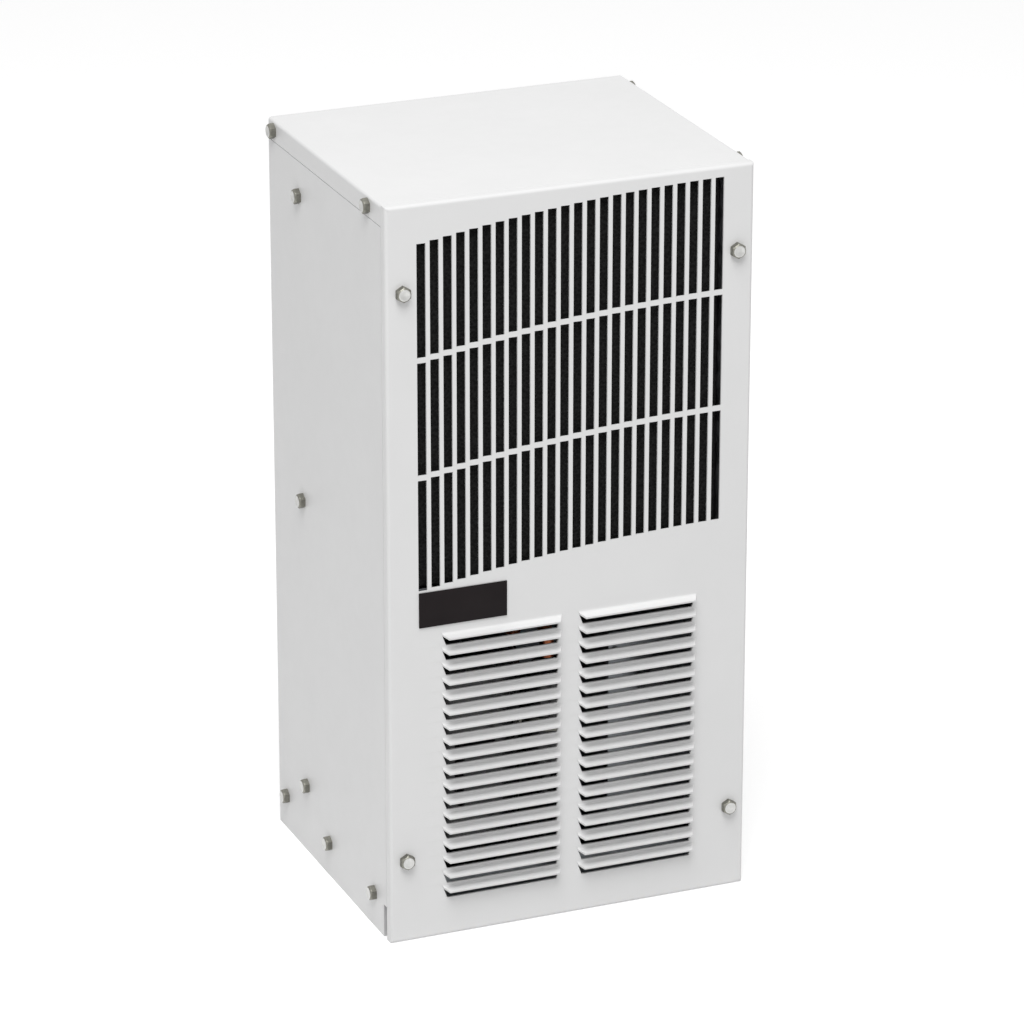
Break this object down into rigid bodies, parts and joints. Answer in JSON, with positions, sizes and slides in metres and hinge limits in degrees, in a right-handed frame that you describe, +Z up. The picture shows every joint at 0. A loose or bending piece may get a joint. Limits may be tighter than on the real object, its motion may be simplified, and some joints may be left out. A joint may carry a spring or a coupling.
{
  "type": "enclosure cooling unit",
  "caption": "Side-mounted enclosure cooling unit in a folded steel cabinet, with a slotted grille, louvred exhaust, refrigeration loop, two fans and sealed rear air path.",
  "frame": {"origin": "middle of the four mounting nuts, on the outer face of the rear plate", "axes": "+X to the right as seen from the front, +Y out of the back into the enclosure that is cooled, +Z up"},
  "size_m": [0.2236, 0.1903, 0.432],
  "materials": {
    "powder_coat": "light grey powder coat, semi-gloss",
    "zinc_steel": "zinc plated",
    "galvanised_steel": "galvanised sheet",
    "fin_aluminium": "bare fin stock",
    "copper": "bare copper, bright",
    "black_enamel": "black enamel, semi-gloss",
    "motor_casting": "dark coated casting",
    "black_plastic": "moulded, fine texture",
    "white_plastic": "moulded, fine texture",
    "nameplate_black": "bare black label plate",
    "rubber": "moulded rubber",
    "foam_rubber": "closed cell foam",
    "filter_foam": "open cell black foam",
    "capacitor_can": "drawn can"
  },
  "bodies": {
    "cabinet": {"base_pan": "galvanised_steel", "base_pan_side_flanges": "galvanised_steel", "base_pan_end_flanges": "galvanised_steel", "left_side_panel": "powder_coat", "right_side_panel": "powder_coat", "rear_plate": "powder_coat", "top_cover": "powder_coat", "left_side_screws": "zinc_steel", "right_side_screws": "zinc_steel", "rear_plate_screws": "zinc_steel", "mounting_nuts": "zinc_steel", "mounting_gasket": "foam_rubber", "partition": "galvanised_steel", "partition_insulation": "foam_rubber", "condenser_fins": "fin_aluminium", "condenser_left_end_plate": "galvanised_steel", "condenser_right_end_plate": "galvanised_steel", "condenser_tubes": "copper", "condenser_screws": "zinc_steel", "fan_shroud": "galvanised_steel", "fan_bracket": "zinc_steel", "fan_motor": "motor_casting", "compressor": "black_enamel", "compressor_terminal_cover": "black_plastic", "compressor_grommets": "rubber", "compressor_bolts": "zinc_steel", "compressor_nuts": "zinc_steel", "suction_accumulator": "black_enamel", "accumulator_strap": "zinc_steel", "discharge_line": "copper", "liquid_line": "copper", "filter_drier": "copper", "capillary_tube": "copper", "suction_line": "copper", "evaporator_fins": "fin_aluminium", "evaporator_left_end_plate": "galvanised_steel", "evaporator_right_end_plate": "galvanised_steel", "evaporator_tubes": "copper", "blower_motor": "motor_casting", "inlet_ring": "galvanised_steel", "drain_pan": "white_plastic", "drain_pan_side_walls": "white_plastic", "drain_pan_end_walls": "white_plastic", "drain_nipple": "white_plastic", "electrical_box": "galvanised_steel", "electrical_box_cover": "galvanised_steel", "box_cover_screws": "zinc_steel", "terminal_block": "white_plastic", "run_capacitor": "capacitor_can", "thermostat": "black_plastic", "cable_gland": "black_plastic", "gland_nut": "black_plastic"},
    "front_cover": {"front_cover": "powder_coat", "nameplate": "nameplate_black", "cover_screws": "zinc_steel", "filter_retainer": "galvanised_steel", "air_filter": "filter_foam"},
    "condenser_fan": {"fan_impeller": "black_plastic"},
    "blower": {"blower_wheel": "black_plastic"},
    "knob": {"thermostat_knob": "black_plastic"}
  },
  "joints": [
    {"name": "cover_lift_off", "type": "slide", "parent": "cabinet", "child": "front_cover", "axis": [0, -1, 0], "range_m": [0, 0.15]},
    {"name": "condenser_fan_spin", "type": "hinge", "parent": "cabinet", "child": "condenser_fan", "pos_m": [0, -0.11, 0.0922], "axis": [0, 1, 0], "continuous": true},
    {"name": "blower_spin", "type": "hinge", "parent": "cabinet", "child": "blower", "pos_m": [0, -0.03, 0.114], "axis": [0, 1, 0], "continuous": true},
    {"name": "thermostat_turn", "type": "hinge", "parent": "cabinet", "child": "knob", "pos_m": [0.0702, -0.145, -0.0968], "axis": [0, 1, 0], "range_deg": [0, 270]}
  ]
}
